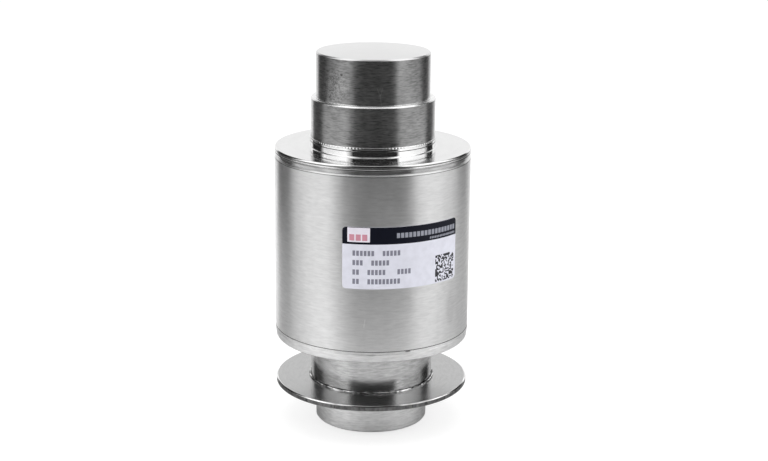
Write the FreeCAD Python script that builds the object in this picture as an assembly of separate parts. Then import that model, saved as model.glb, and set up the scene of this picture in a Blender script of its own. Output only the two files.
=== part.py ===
import FreeCAD, Part
import math
import os

# Column load cell: a steel column with crowned ends, and a welded housing round its strain gauges.
# Sizes are in millimetres. The origin is the lowest point of the lower crown, on the axis.
# +Z is up, the label is at the front (-Y) and the cable outlet at the back (+Y).

# Column
column_height = 150.0
crown_radius = 160.0
spigot_radius = 22.0
spigot_edge_width = 0.5
spigot_edge_height = 0.6
lower_spigot_length = 18.5
upper_spigot_length = 18.85
shoulder_width = 2.0
lower_neck_length = 17.45
upper_neck_length = 19.15
neck_edge = 0.6
disc_seat_step = 0.4
land_step = 0.25
land_above_plate = 3.5
land_below_plate = 1.0
seam_above_plate = 2.15
seam_width = 0.35
seam_depth = 0.15

# Gauge section of the column
waist_step = 1.5
waist_length = 42.0
waist_fillet = 6.0
flats_across = 33.0
flat_end_margin = 2.0
flat_end_radius = 5.0
flat_turn = 45.0

# Housing
housing_radius = 38.0
tube_wall = 3.0
tube_top_edge = 0.5
tube_line_below_top = 0.8
cover_rim_height = 4.35
cover_rim_taper = 0.3
cover_rim_edge = 0.5
cover_line_below_tube = 1.1
line_width = 0.25
line_depth = 0.12
cover_web = 1.8
cover_hub_wall = 1.2
cover_hub_height = 4.9
cover_ring_width = 5.4
register_length = 2.3
register_clearance = 0.05
head_groove_height = 1.3
head_groove_depth = 0.8
head_rim_height = 1.2
head_register_length = 4.0
head_register_width = 3.4
head_ring_edge = 1.0
plate_thickness = 0.9
plate_edge_width = 0.4
plate_edge_height = 0.5
fit_clearance = 0.02

# Base disc
disc_radius = 37.8
disc_thickness = 2.2
disc_edge = 0.4
bead_gap = 0.12
bead_width = 0.85
bead_height = 0.7

# Label
label_width = 48.2
label_height = 23.8
label_turn = 19.9
label_above_cover = 24.85
label_thickness = 0.15
label_corner = 1.5

# Strain gauges, solder terminals and span resistors
gauge_width = 10.0
gauge_height = 14.0
film_thickness = 0.12
foil_thickness = 0.06
grid_width = 3.2
grid_height = 5.0
grid_gap = 0.8
strip_width = 9.0
strip_height = 3.6
strip_thickness = 0.8
strip_end_gap = 0.6
terminal_size = 1.7
terminal_height = 0.2
terminal_pitch = 2.6
resistor_width = 7.0
resistor_height = 3.0
resistor_end_gap = 0.4

# Board and its fixings
board_wall_gap = 0.5
board_width = 5.8
board_thickness = 1.6
standoff_radius = 1.7
standoff_height = 2.4
screw_radius = 1.0
screw_depth = 2.6
screw_hole_spare = 0.5
screw_pass_clearance = 0.1
screw_head_radius = 1.7
screw_head_height = 1.3
screw_head_edge = 0.25
screw_slot_width = 0.5
screw_slot_depth = 0.6
fixing_count = 3
first_fixing_angle = -90.0
chip_length = 3.2
chip_width = 1.6
chip_height = 0.6
chip_angles = (0.0, 180.0, -75.0, -105.0)

# Leads inside the housing
ribbon_width = 7.4
ribbon_thickness = 0.25
ribbon_drop = 0.8
ribbon_fall = 2.0
ribbon_inset = 2.0
signal_lead_radius = 0.35
signal_lead_neck_gap = 2.5
signal_lead_drop = 4.0
signal_lead_spread = 0.4
signal_lead_rise = 2.6
signal_lead_inset = 1.3
upper_lead_side = 7.0
lower_lead_side = 2.3
bend_share = 0.45

# Cable outlet
outlet_above_cover = 17.7
outlet_thread_radius = 6.0
thread_clearance = 0.02
boss_wall = 3.0
boss_reach = 2.0
boss_stand = 5.0
boss_edge = 0.6
weld_gap = 0.02
feedthrough_step = 0.5
feedthrough_wall = 1.9
feedthrough_length = 3.0
pin_radius = 0.45
pin_inner_length = 1.5
pin_outer_length = 4.0
pin_offset = 2.0
gland_thread_length = 5.0
gland_seal_thickness = 1.0
gland_seal_inset = 0.5
gland_stub_wall = 1.78
gland_hex = 17.0
gland_hex_length = 5.0
gland_neck_step = 1.4
gland_neck_length = 8.0
gland_neck_edge = 0.5
gland_neck_wall = 1.8
grommet_wall = 2.5
grommet_depth = 6.0
grommet_stand = 0.5
clamp_ring_inset = 0.6
clamp_ring_step = 0.5
clamp_ring_thickness = 1.0
nut_wall = 1.6
nut_gap = 1.5
nut_hex_length = 7.5
nut_end_wall = 2.5
nut_mouth_step = 0.6
nut_nose_inset = 2.4
nose_fullness = 0.7
hex_edge = 0.7

# Heights that follow, from the foot up
lower_shoulder = lower_spigot_length
upper_shoulder = column_height - upper_spigot_length
disc_bottom = lower_shoulder - disc_thickness
cover_bottom = lower_shoulder + lower_neck_length
tube_bottom = cover_bottom + cover_rim_height
plate_top = upper_shoulder - upper_neck_length
plate_bottom = plate_top - plate_thickness
head_rim_bottom = plate_bottom - head_rim_height
tube_top = head_rim_bottom - head_groove_height
land_bottom = plate_bottom - land_below_plate
land_top = plate_top + land_above_plate
waist_middle = (tube_bottom + tube_top) / 2
flat_length = waist_length - 2 * flat_end_margin
flat_low = waist_middle - flat_length / 2
flat_high = waist_middle + flat_length / 2
strip_low = flat_low + flat_end_radius + strip_end_gap
strip_middle = strip_low + strip_height / 2
resistor_high = flat_high - flat_end_radius - resistor_end_gap
resistor_middle = resistor_high - resistor_height / 2
gauge_middle = (strip_low + strip_height + resistor_high - resistor_height) / 2
cover_ring_top = tube_bottom + register_length
board_bottom = cover_ring_top + standoff_height
board_top = board_bottom + board_thickness
outlet_height = tube_bottom + outlet_above_cover

# Radii that follow, about the column's axis
neck_radius = spigot_radius + shoulder_width
disc_seat_radius = spigot_radius + disc_seat_step
land_radius = neck_radius + land_step
waist_radius = neck_radius - waist_step
flat_radius = flats_across / 2
bore_radius = housing_radius - tube_wall
register_radius = bore_radius - register_clearance
cover_bore_radius = neck_radius + fit_clearance
cover_hub_radius = cover_bore_radius + cover_hub_wall
cover_ring_radius = register_radius - cover_ring_width
fixing_circle_radius = (cover_ring_radius + register_radius) / 2
board_radius = bore_radius - board_wall_gap
board_hole_radius = board_radius - board_width
chip_circle_radius = (board_hole_radius + board_radius) / 2
ribbon_circle_radius = board_hole_radius + ribbon_inset

# Places along the outlet, measured out from the column's axis
boss_inner = bore_radius - boss_reach
feedthrough_outer = boss_inner + feedthrough_length
boss_outer = housing_radius + boss_stand
gland_start = boss_outer - gland_thread_length
gland_hex_start = boss_outer + gland_seal_thickness
gland_hex_end = gland_hex_start + gland_hex_length
gland_end = gland_hex_end + gland_neck_length
grommet_start = gland_end - grommet_depth
grommet_end = gland_end + grommet_stand
clamp_ring_end = grommet_end + clamp_ring_thickness
nut_start = gland_hex_end + nut_gap
nut_hex_end = nut_start + nut_hex_length
nut_end = clamp_ring_end + nut_end_wall
pin_inner = boss_inner - pin_inner_length
pin_outer = feedthrough_outer + pin_outer_length
signal_lead_bend = neck_radius + signal_lead_neck_gap
signal_lead_foot = board_hole_radius + signal_lead_inset

# Radii that follow, about the outlet's axis
boss_radius = outlet_thread_radius + boss_wall
feedthrough_radius = outlet_thread_radius + feedthrough_step
glass_radius = feedthrough_radius - feedthrough_wall
gland_stub_radius = outlet_thread_radius - thread_clearance
gland_bore_radius = gland_stub_radius - gland_stub_wall
gland_seal_radius = gland_hex / 2 - gland_seal_inset
gland_neck_radius = outlet_thread_radius + gland_neck_step
grommet_radius = gland_neck_radius - gland_neck_wall
grommet_bore_radius = grommet_radius - grommet_wall
clamp_ring_radius = gland_neck_radius - clamp_ring_inset
clamp_ring_bore_radius = grommet_bore_radius + clamp_ring_step
nut_bore_radius = gland_neck_radius + thread_clearance
nut_hex = 2 * (gland_neck_radius + nut_wall)
nut_mouth_radius = clamp_ring_bore_radius + nut_mouth_step
nut_nose_radius = nut_hex / 2 - nut_nose_inset

ORIGIN = FreeCAD.Vector(0, 0, 0)
RIGHT = FreeCAD.Vector(1, 0, 0)
UP = FreeCAD.Vector(0, 0, 1)


class Outline:
    """A closed outline in the XZ plane, drawn from point to point: X is the radius, Z the height."""

    def __init__(self, x, z):
        self.start = FreeCAD.Vector(x, 0, z)
        self.here = self.start
        self.edges = []

    def line(self, x, z):
        there = FreeCAD.Vector(x, 0, z)
        self.edges.append(Part.LineSegment(self.here, there).toShape())
        self.here = there
        return self

    def arc(self, middle_x, middle_z, x, z):
        middle = FreeCAD.Vector(middle_x, 0, middle_z)
        there = FreeCAD.Vector(x, 0, z)
        self.edges.append(Part.Arc(self.here, middle, there).toShape())
        self.here = there
        return self

    def face(self):
        self.line(self.start.x, self.start.z)
        return Part.Face(Part.Wire(self.edges))

    def turned(self):
        return self.face().revolve(ORIGIN, UP, 360)


def cylinder(radius, low, high):
    return Part.makeCylinder(radius, high - low, FreeCAD.Vector(0, 0, low))


def ring(inner_radius, outer_radius, low, high):
    return cylinder(outer_radius, low, high).cut(cylinder(inner_radius, low, high))


def hexagon(across_flats, low, high):
    """An upright hexagonal bar with both ends turned down at the corners."""
    corner_radius = across_flats / math.sqrt(3)
    corners = []
    for index in range(7):
        angle = math.radians(60 * index)
        corners.append(FreeCAD.Vector(corner_radius * math.cos(angle), corner_radius * math.sin(angle), low))
    bar = Part.Face(Part.makePolygon(corners)).extrude(UP * (high - low))
    slope = hex_edge * math.tan(math.radians(30))
    envelope = Outline(0, low)
    envelope.line(corner_radius - hex_edge, low).line(corner_radius, low + slope)
    envelope.line(corner_radius, high - slope).line(corner_radius - hex_edge, high).line(0, high)
    return bar.common(envelope.turned())


def turned_to(shape, angle):
    """The shape turned about the column's axis, in degrees from +X."""
    shape = shape.copy()
    shape.rotate(ORIGIN, UP, angle)
    return shape


def to_outlet(shape):
    """A shape built upright on the origin, laid along the outlet's axis: its height becomes +Y."""
    shape = shape.copy()
    shape.rotate(ORIGIN, RIGHT, -90)
    shape.translate(UP * outlet_height)
    return shape


def box_on_flat(width, height, thickness, middle, seat, side=0.0):
    """A plate that stands on a plane facing +X: its middle is at a height and to one side."""
    corner = FreeCAD.Vector(seat, side - width / 2, middle - height / 2)
    return Part.makeBox(thickness, width, height, corner)


def follow(points, section, area):
    """A solid along straight runs, joined by tangent arcs as large as the runs allow.

    section gives the face across the run at a point, for the direction of that run.
    """
    pieces = []
    here = points[0]
    length = (points[-1] - points[-2]).Length
    for before, corner, after in zip(points, points[1:], points[2:]):
        back = before - corner
        ahead = after - corner
        trim = bend_share * min(back.Length, ahead.Length)
        back.normalize()
        ahead.normalize()
        half_turn = (math.pi - back.getAngle(ahead)) / 2
        bend = trim / math.tan(half_turn)
        centre = corner + (back + ahead).normalize() * (bend / math.cos(half_turn))
        first = corner + back * trim
        pieces.append(section(here, -back).extrude(first - here))
        pieces.append(section(first, -back).revolve(centre, ahead.cross(back), 2 * math.degrees(half_turn)))
        here = corner + ahead * trim
        length += (before - corner).Length - 2 * trim + 2 * half_turn * bend
        print("bend radius %.1f" % bend)
    run = points[-1] - here
    pieces.append(section(here, FreeCAD.Vector(run).normalize()).extrude(run))
    whole = pieces[0].fuse(pieces[1:]).removeSplitter()
    print("volume %.4f, section times length %.4f" % (whole.Volume, area * length))
    return whole


def signal_lead_section(point, direction):
    return Part.Face(Part.Wire(Part.makeCircle(signal_lead_radius, point, direction)))


def ribbon_section(point, direction):
    """A ribbon's width lies along Y, and its thickness across the run."""
    side = FreeCAD.Vector(0, ribbon_width / 2, 0)
    rise = direction.cross(FreeCAD.Vector(0, ribbon_thickness / 2, 0))
    corners = [point - side - rise, point + side - rise, point + side + rise, point - side + rise]
    return Part.Face(Part.makePolygon(corners + corners[:1]))


def crown_drop(radius):
    """How far a crown lies back from its apex at a radius."""
    return crown_radius - math.sqrt(crown_radius ** 2 - radius ** 2)


def draw_spigot_rim(outline, end, inward):
    """From the edge of a crown to the spigot's wall, at the end of the column whose apex is given."""
    rim = spigot_radius - spigot_edge_width
    rim_height = end + inward * crown_drop(rim)
    outline.arc(rim / 2, end + inward * crown_drop(rim / 2), rim, rim_height)
    outline.line(spigot_radius, rim_height + inward * spigot_edge_height)


def waist_arc(inward):
    """Middle and ends of the fillet between neck and waist, as (radius, height) pairs."""
    tangent_height = waist_middle - inward * waist_length / 2
    centre = waist_radius + waist_fillet
    sweep = math.acos((centre - neck_radius) / waist_fillet)
    pairs = []
    for share in (0.0, 0.5, 1.0):
        angle = share * sweep
        radius = centre - waist_fillet * math.cos(angle)
        pairs.append((radius, tangent_height - inward * waist_fillet * math.sin(angle)))
    return pairs


def turned_column():
    lower = waist_arc(1)
    upper = waist_arc(-1)
    seam = plate_top + seam_above_plate
    outline = Outline(0, 0)
    draw_spigot_rim(outline, 0, 1)
    outline.line(spigot_radius, disc_bottom).line(disc_seat_radius, disc_bottom)
    outline.line(disc_seat_radius, lower_shoulder).line(neck_radius - neck_edge, lower_shoulder)
    outline.line(neck_radius, lower_shoulder + neck_edge)
    outline.line(*lower[2]).arc(*lower[1], *lower[0])
    outline.line(*upper[0]).arc(*upper[1], *upper[2])
    outline.line(neck_radius, land_bottom).line(land_radius, land_bottom)
    outline.line(land_radius, seam - seam_width / 2).line(land_radius - seam_depth, seam)
    outline.line(land_radius, seam + seam_width / 2)
    outline.line(land_radius, land_top).line(neck_radius, land_top)
    outline.line(neck_radius, upper_shoulder - neck_edge).line(neck_radius - neck_edge, upper_shoulder)
    outline.line(spigot_radius, upper_shoulder)
    rim = spigot_radius - spigot_edge_width
    rim_height = column_height - crown_drop(rim)
    outline.line(spigot_radius, rim_height - spigot_edge_height).line(rim, rim_height)
    outline.arc(rim / 2, column_height - crown_drop(rim / 2), 0, column_height)
    return outline.turned()


def flat_cutter():
    """What an end mill takes off one side of the waist, with a rounded root at each end."""
    root = flat_end_radius * (1 - math.sqrt(0.5))
    clear = 2 * neck_radius
    outline = Outline(flat_radius, flat_low + flat_end_radius)
    outline.arc(flat_radius + root, flat_low + root, flat_radius + flat_end_radius, flat_low)
    outline.line(clear, flat_low).line(clear, flat_high).line(flat_radius + flat_end_radius, flat_high)
    outline.arc(flat_radius + root, flat_high - root, flat_radius, flat_high - flat_end_radius)
    cutter = outline.face().extrude(FreeCAD.Vector(0, 2 * clear, 0))
    cutter.translate(FreeCAD.Vector(0, -clear, 0))
    return cutter


def make_column():
    column = turned_column()
    for index in range(4):
        column = column.cut(turned_to(flat_cutter(), flat_turn + 90 * index))
    return column


def make_top_plate():
    inner = land_radius + fit_clearance
    outline = Outline(inner, plate_bottom)
    outline.line(housing_radius, plate_bottom).line(housing_radius, plate_top - plate_edge_height)
    outline.line(housing_radius - plate_edge_width, plate_top).line(inner, plate_top)
    return outline.turned()


def make_top_ring():
    inner = register_radius - head_register_width
    neck = housing_radius - head_groove_depth
    low = tube_top - head_register_length
    outline = Outline(inner, low + head_ring_edge)
    outline.line(inner + head_ring_edge, low).line(register_radius, low).line(register_radius, tube_top)
    outline.line(neck, tube_top).line(neck, head_rim_bottom).line(housing_radius, head_rim_bottom)
    outline.line(housing_radius, plate_bottom).line(inner, plate_bottom)
    return outline.turned()


def cut_line(outline, height):
    """A fine turned line round the housing, as a small notch in an outline that goes up its wall."""
    outline.line(housing_radius, height - line_width / 2)
    outline.line(housing_radius - line_depth, height)
    outline.line(housing_radius, height + line_width / 2)


def make_housing_tube():
    outline = Outline(bore_radius, tube_bottom)
    outline.line(housing_radius, tube_bottom)
    cut_line(outline, tube_top - tube_line_below_top)
    outline.line(housing_radius, tube_top - tube_top_edge)
    outline.line(housing_radius - tube_top_edge, tube_top).line(bore_radius, tube_top)
    tube = outline.turned()
    return tube.cut(to_outlet(cylinder(boss_radius + weld_gap, 0, boss_outer)))


def fixing_angles():
    return [first_fixing_angle + 360 / fixing_count * index for index in range(fixing_count)]


def at_fixings(shape):
    """One copy of a shape, built on the axis, at each fixing of the board."""
    copies = []
    for angle in fixing_angles():
        moved = shape.copy()
        moved.translate(RIGHT * fixing_circle_radius)
        copies.append(turned_to(moved, angle))
    return copies


def make_bottom_cover():
    low_radius = housing_radius - cover_rim_taper
    hub_top = cover_bottom + cover_hub_height
    web_top = cover_bottom + cover_web
    outline = Outline(cover_bore_radius, cover_bottom)
    outline.line(low_radius - cover_rim_edge, cover_bottom).line(low_radius, cover_bottom + cover_rim_edge)
    cut_line(outline, tube_bottom - cover_line_below_tube)
    outline.line(housing_radius, tube_bottom)
    outline.line(register_radius, tube_bottom).line(register_radius, cover_ring_top)
    outline.line(cover_ring_radius, cover_ring_top).line(cover_ring_radius, web_top)
    outline.line(cover_hub_radius, web_top).line(cover_hub_radius, hub_top)
    outline.line(cover_bore_radius, hub_top)
    cover = outline.turned()
    hole_bottom = cover_ring_top - screw_depth - screw_hole_spare
    tapped_hole = cylinder(screw_radius + thread_clearance, hole_bottom, cover_ring_top)
    for hole in at_fixings(tapped_hole):
        cover = cover.cut(hole)
    return cover


def make_base_disc():
    inner = disc_seat_radius + fit_clearance
    bead_inner = neck_radius + bead_gap
    bead_outer = bead_inner + bead_width
    outline = Outline(inner, disc_bottom)
    outline.line(disc_radius - disc_edge, disc_bottom).line(disc_radius, disc_bottom + disc_edge)
    outline.line(disc_radius, lower_shoulder - disc_edge).line(disc_radius - disc_edge, lower_shoulder)
    outline.line(bead_outer, lower_shoulder)
    outline.line(bead_outer - bead_width / 3, lower_shoulder + bead_height)
    outline.line(bead_inner + bead_width / 3, lower_shoulder + bead_height)
    outline.line(bead_inner, lower_shoulder)
    outline.line(inner, lower_shoulder)
    return outline.turned()


def make_label():
    """A film on the tube, with its four corners rounded."""
    low = tube_bottom + label_above_cover
    outline = Outline(housing_radius, low)
    outline.line(housing_radius + label_thickness, low)
    outline.line(housing_radius + label_thickness, low + label_height)
    outline.line(housing_radius, low + label_height)
    span = math.degrees(label_width / housing_radius)
    film = outline.face().revolve(ORIGIN, UP, span)
    corners = [edge for edge in film.Edges if abs(edge.Length - label_thickness) < label_thickness / 10]
    film = film.makeFillet(label_corner, corners)
    return turned_to(film, -90 + label_turn - span / 2)


def make_strain_gauge():
    """A carrier film with a lengthwise and a crosswise grid, on the flat that faces +X."""
    film = box_on_flat(gauge_width, gauge_height, film_thickness, gauge_middle, flat_radius)
    seat = flat_radius + film_thickness
    offset = (grid_height + grid_gap) / 2
    lengthwise = box_on_flat(grid_width, grid_height, foil_thickness, gauge_middle + offset, seat)
    crosswise = box_on_flat(grid_height, grid_width, foil_thickness, gauge_middle - offset, seat)
    return film.fuse([lengthwise, crosswise]).removeSplitter()


def terminal_sides():
    return [terminal_pitch * step for step in (-1, 0, 1)]


def make_terminal_strip():
    strip = box_on_flat(strip_width, strip_height, strip_thickness, strip_middle, flat_radius)
    seat = flat_radius + strip_thickness
    for side in terminal_sides():
        pad = box_on_flat(terminal_size, terminal_size, terminal_height, strip_middle, seat, side)
        strip = strip.fuse(pad)
    return strip.removeSplitter()


def make_gauge_ribbon():
    """A flexible printed ribbon on the +X flat's terminals, out past the waist and down to the board."""
    start = flat_radius + strip_thickness + terminal_height + ribbon_thickness / 2
    exit_height = strip_low - ribbon_drop
    points = [
        FreeCAD.Vector(start, 0, strip_low + strip_height),
        FreeCAD.Vector(start, 0, exit_height),
        FreeCAD.Vector(ribbon_circle_radius, 0, exit_height - ribbon_fall),
        FreeCAD.Vector(ribbon_circle_radius, 0, board_top),
    ]
    return follow(points, ribbon_section, ribbon_width * ribbon_thickness)


def make_span_resistor():
    return box_on_flat(resistor_width, resistor_height, film_thickness, resistor_middle, flat_radius)


def make_bridge_board():
    board = ring(board_hole_radius, board_radius, board_bottom, board_top)
    for hole in at_fixings(cylinder(screw_radius + screw_pass_clearance, board_bottom, board_top)):
        board = board.cut(hole)
    return board


def make_board_standoffs():
    inner = screw_radius + screw_pass_clearance
    return Part.Compound(at_fixings(ring(inner, standoff_radius, cover_ring_top, board_bottom)))


def make_board_screws():
    """Slotted cheese-head screws, through board and standoffs into the bottom cover."""
    tip = cover_ring_top - screw_depth
    head_top = board_top + screw_head_height
    outline = Outline(0, tip)
    outline.line(screw_radius, tip).line(screw_radius, board_top).line(screw_head_radius, board_top)
    outline.line(screw_head_radius, head_top - screw_head_edge)
    outline.line(screw_head_radius - screw_head_edge, head_top).line(0, head_top)
    slot_corner = FreeCAD.Vector(-2 * screw_head_radius, -screw_slot_width / 2, head_top - screw_slot_depth)
    slot = Part.makeBox(4 * screw_head_radius, screw_slot_width, 2 * screw_slot_depth, slot_corner)
    return Part.Compound(at_fixings(outline.turned().cut(slot)))


def make_trim_resistors():
    chips = []
    for angle in chip_angles:
        corner = FreeCAD.Vector(chip_circle_radius - chip_width / 2, -chip_length / 2, board_top)
        chips.append(turned_to(Part.makeBox(chip_width, chip_length, chip_height, corner), angle))
    return Part.Compound(chips)


def make_cable_boss():
    """The boss in the tube wall: threaded from outside, counterbored inside for the feedthrough."""
    seat_radius = feedthrough_radius + fit_clearance
    outline = Outline(outlet_thread_radius, feedthrough_outer)
    outline.line(seat_radius, feedthrough_outer)
    outline.line(seat_radius, boss_inner).line(boss_radius, boss_inner)
    outline.line(boss_radius, boss_outer - boss_edge).line(boss_radius - boss_edge, boss_outer)
    outline.line(outlet_thread_radius, boss_outer)
    return to_outlet(outline.turned())


def make_feedthrough_shell():
    return to_outlet(ring(glass_radius, feedthrough_radius, boss_inner, feedthrough_outer))


def at_pins(shape):
    """One copy of an upright shape at each corner of the square of pins."""
    copies = []
    for side in (-1, 1):
        for rise in (-1, 1):
            moved = shape.copy()
            moved.translate(FreeCAD.Vector(side * pin_offset, rise * pin_offset, 0))
            copies.append(moved)
    return copies


def make_feedthrough_glass():
    glass = cylinder(glass_radius, boss_inner, feedthrough_outer)
    for hole in at_pins(cylinder(pin_radius, boss_inner, feedthrough_outer)):
        glass = glass.cut(hole)
    return to_outlet(glass)


def make_feedthrough_pins():
    return to_outlet(Part.Compound(at_pins(cylinder(pin_radius, pin_inner, pin_outer))))


def make_signal_lead(side, rise):
    """A lead from the inner end of one pin, back towards the column and down to the board."""
    pin_side = side * pin_offset
    pin_height = outlet_height + rise * pin_offset
    foot_side = side * (upper_lead_side if rise > 0 else lower_lead_side)
    drop_side = pin_side + signal_lead_spread * (foot_side - pin_side)
    points = [
        FreeCAD.Vector(pin_side, pin_inner, pin_height),
        FreeCAD.Vector(pin_side, signal_lead_bend, pin_height),
        FreeCAD.Vector(drop_side, signal_lead_bend, pin_height - signal_lead_drop),
        FreeCAD.Vector(foot_side, signal_lead_foot, board_top + signal_lead_rise),
        FreeCAD.Vector(foot_side, signal_lead_foot, board_top),
    ]
    return follow(points, signal_lead_section, math.pi * signal_lead_radius ** 2)


def make_gland_seal():
    return to_outlet(ring(outlet_thread_radius, gland_seal_radius, boss_outer, gland_hex_start))


def make_gland_body():
    """Threaded stub, hexagon and compression neck in one piece, with a seat for the grommet."""
    outline = Outline(gland_bore_radius, gland_start)
    outline.line(gland_stub_radius, gland_start).line(gland_stub_radius, gland_hex_start)
    outline.line(gland_neck_radius, gland_hex_start).line(gland_neck_radius, gland_end - gland_neck_edge)
    outline.line(gland_neck_radius - gland_neck_edge, gland_end).line(grommet_radius, gland_end)
    outline.line(grommet_radius, grommet_start).line(gland_bore_radius, grommet_start)
    hexagon_ring = hexagon(gland_hex, gland_hex_start, gland_hex_end)
    hexagon_ring = hexagon_ring.cut(cylinder(gland_bore_radius, gland_hex_start, gland_hex_end))
    return to_outlet(outline.turned().fuse(hexagon_ring).removeSplitter())


def make_gland_grommet():
    outer = grommet_radius - fit_clearance
    return to_outlet(ring(grommet_bore_radius, outer, grommet_start, grommet_end))


def make_gland_clamp_ring():
    return to_outlet(ring(clamp_ring_bore_radius, clamp_ring_radius, grommet_end, clamp_ring_end))


def make_gland_nut():
    """A cap nut: a hexagon that narrows to a domed nose round the cable's mouth."""
    shoulder = nut_hex / 2
    middle_radius = nut_nose_radius + nose_fullness * (shoulder - nut_nose_radius)
    middle_height = nut_hex_end + nose_fullness * (nut_end - nut_hex_end)
    dome = Outline(0, nut_start)
    dome.line(shoulder - hex_edge, nut_start).line(shoulder - hex_edge, nut_hex_end)
    dome.line(shoulder, nut_hex_end)
    dome.arc(middle_radius, middle_height, nut_nose_radius, nut_end).line(0, nut_end)
    nut = hexagon(nut_hex, nut_start, nut_hex_end).fuse(dome.turned()).removeSplitter()
    nut = nut.cut(cylinder(nut_bore_radius, nut_start, clamp_ring_end))
    return to_outlet(nut.cut(cylinder(nut_mouth_radius, clamp_ring_end, nut_end)))


def parts():
    """Every node of the model, by name."""
    nodes = {
        "column": make_column(),
        "top_plate": make_top_plate(),
        "top_ring": make_top_ring(),
        "housing_tube": make_housing_tube(),
        "bottom_cover": make_bottom_cover(),
        "base_disc": make_base_disc(),
        "label": make_label(),
        "bridge_board": make_bridge_board(),
        "board_standoffs": make_board_standoffs(),
        "board_screws": make_board_screws(),
        "trim_resistors": make_trim_resistors(),
        "cable_boss": make_cable_boss(),
        "feedthrough_shell": make_feedthrough_shell(),
        "feedthrough_glass": make_feedthrough_glass(),
        "feedthrough_pins": make_feedthrough_pins(),
        "gland_seal": make_gland_seal(),
        "gland_body": make_gland_body(),
        "gland_grommet": make_gland_grommet(),
        "gland_clamp_ring": make_gland_clamp_ring(),
        "gland_nut": make_gland_nut(),
    }
    for index in range(4):
        angle = flat_turn + 90 * index
        nodes["strain_gauge_%d" % (index + 1)] = turned_to(make_strain_gauge(), angle)
        nodes["terminal_strip_%d" % (index + 1)] = turned_to(make_terminal_strip(), angle)
        nodes["gauge_ribbon_%d" % (index + 1)] = turned_to(make_gauge_ribbon(), angle)
    for index in range(2):
        nodes["span_resistor_%d" % (index + 1)] = turned_to(make_span_resistor(), flat_turn + 180 * index)
    for index, (side, rise) in enumerate([(-1, 1), (1, 1), (-1, -1), (1, -1)]):
        nodes["signal_lead_%d" % (index + 1)] = make_signal_lead(side, rise)
    return nodes


def main():
    os.makedirs("parts", exist_ok=True)
    for name, shape in parts().items():
        shape.exportStep("parts/%s.step" % name)
        print("%-20s %10.1f mm3  valid %s" % (name, shape.Volume, shape.isValid()))


main()
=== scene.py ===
import math
import random

import bmesh
import bpy
from mathutils import Matrix, Vector


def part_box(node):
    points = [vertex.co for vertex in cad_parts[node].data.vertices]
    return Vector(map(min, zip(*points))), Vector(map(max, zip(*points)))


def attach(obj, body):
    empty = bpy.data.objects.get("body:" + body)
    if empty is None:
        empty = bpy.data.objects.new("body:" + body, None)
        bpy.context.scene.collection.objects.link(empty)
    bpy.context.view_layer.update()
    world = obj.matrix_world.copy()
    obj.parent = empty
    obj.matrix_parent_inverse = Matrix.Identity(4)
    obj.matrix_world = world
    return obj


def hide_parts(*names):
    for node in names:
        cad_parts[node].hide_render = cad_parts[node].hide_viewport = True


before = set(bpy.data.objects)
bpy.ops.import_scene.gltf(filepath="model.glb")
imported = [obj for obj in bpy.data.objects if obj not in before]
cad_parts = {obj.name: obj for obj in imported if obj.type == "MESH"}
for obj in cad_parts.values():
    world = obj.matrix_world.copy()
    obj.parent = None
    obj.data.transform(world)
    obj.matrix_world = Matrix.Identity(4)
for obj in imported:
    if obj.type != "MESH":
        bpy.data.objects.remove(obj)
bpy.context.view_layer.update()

# Column load cell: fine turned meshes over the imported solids, in the same frame.
# The frame is in metres. Outlines are drawn in millimetres and scaled once.
MM = 0.001
BODY = "root"


def in_mm(box):
    return [corner / MM for corner in box]


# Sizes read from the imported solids, in millimetres
column_high = in_mm(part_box("column"))[1]
plate_low, plate_high = in_mm(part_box("top_plate"))
head_low = in_mm(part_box("top_ring"))[0]
tube_low, tube_high = in_mm(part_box("housing_tube"))
cover_low, cover_high = in_mm(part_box("bottom_cover"))
disc_low, disc_high = in_mm(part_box("base_disc"))
boss_low, boss_high = in_mm(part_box("cable_boss"))
seal_low, seal_high = in_mm(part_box("gland_seal"))
gland_low, gland_high = in_mm(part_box("gland_body"))
grommet_low, grommet_high = in_mm(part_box("gland_grommet"))
clamp_low, clamp_high = in_mm(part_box("gland_clamp_ring"))
nut_low, nut_high = in_mm(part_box("gland_nut"))
label_low, label_high = in_mm(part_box("label"))

# Column
column_height = column_high.z
land_radius = column_high.x
crown_radius = 160.0
spigot_radius = 22.0
spigot_edge_width = 0.5
spigot_edge_height = 0.6
lower_shoulder = 18.5
upper_spigot_length = 18.85
neck_radius = 24.0
neck_edge = 0.6
disc_seat_radius = 22.4
land_above_plate = 3.5
land_below_plate = 1.0
seam_above_plate = 2.15
seam_width = 0.35
seam_depth = 0.15
collar_bead_radius = 24.42
collar_bead_height = 0.75
collar_bead_swell = 0.07
collar_bead_sway = 0.05
collar_bead_foot = 24.1
collar_beads = 117
contact_weld = 0.4
waist_radius = 22.5
waist_length = 42.0
waist_fillet = 6.0
flat_radius = 16.5
flat_end_margin = 2.0
flat_end_radius = 5.0
flat_turn = 45.0

# Housing
housing_radius = tube_high.x
bore_radius = 35.0
tube_top_edge = 0.5
line_width = 0.25
line_depth = 0.12
joint_line = 0.13
tube_line_below_top = 0.8
cover_line_below_tube = 1.1
register_radius = 34.95
cover_rim_taper = 0.3
cover_rim_edge = 0.5
cover_ring_radius = 29.55
cover_web = 1.8
cover_hub_height = 4.9
cover_hub_radius = 25.22
cover_bore_radius = 24.02
head_groove_depth = 0.8
head_groove_height = 1.3
head_inner_radius = 31.55
rim_bead_drop = 0.42
rim_bead_height = 0.5
rim_bead_depth = 0.15
head_ring_edge = 1.0
plate_inner_radius = 24.27
plate_edge_width = 0.4
plate_edge_height = 0.5

# Base disc
disc_radius = disc_high.x
disc_thickness = 2.2
disc_edge = 0.4
bead_inner = 24.12
bead_width = 0.85
bead_foot = 0.1
bead_sag = 0.35
bead_sway = 0.08

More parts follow.
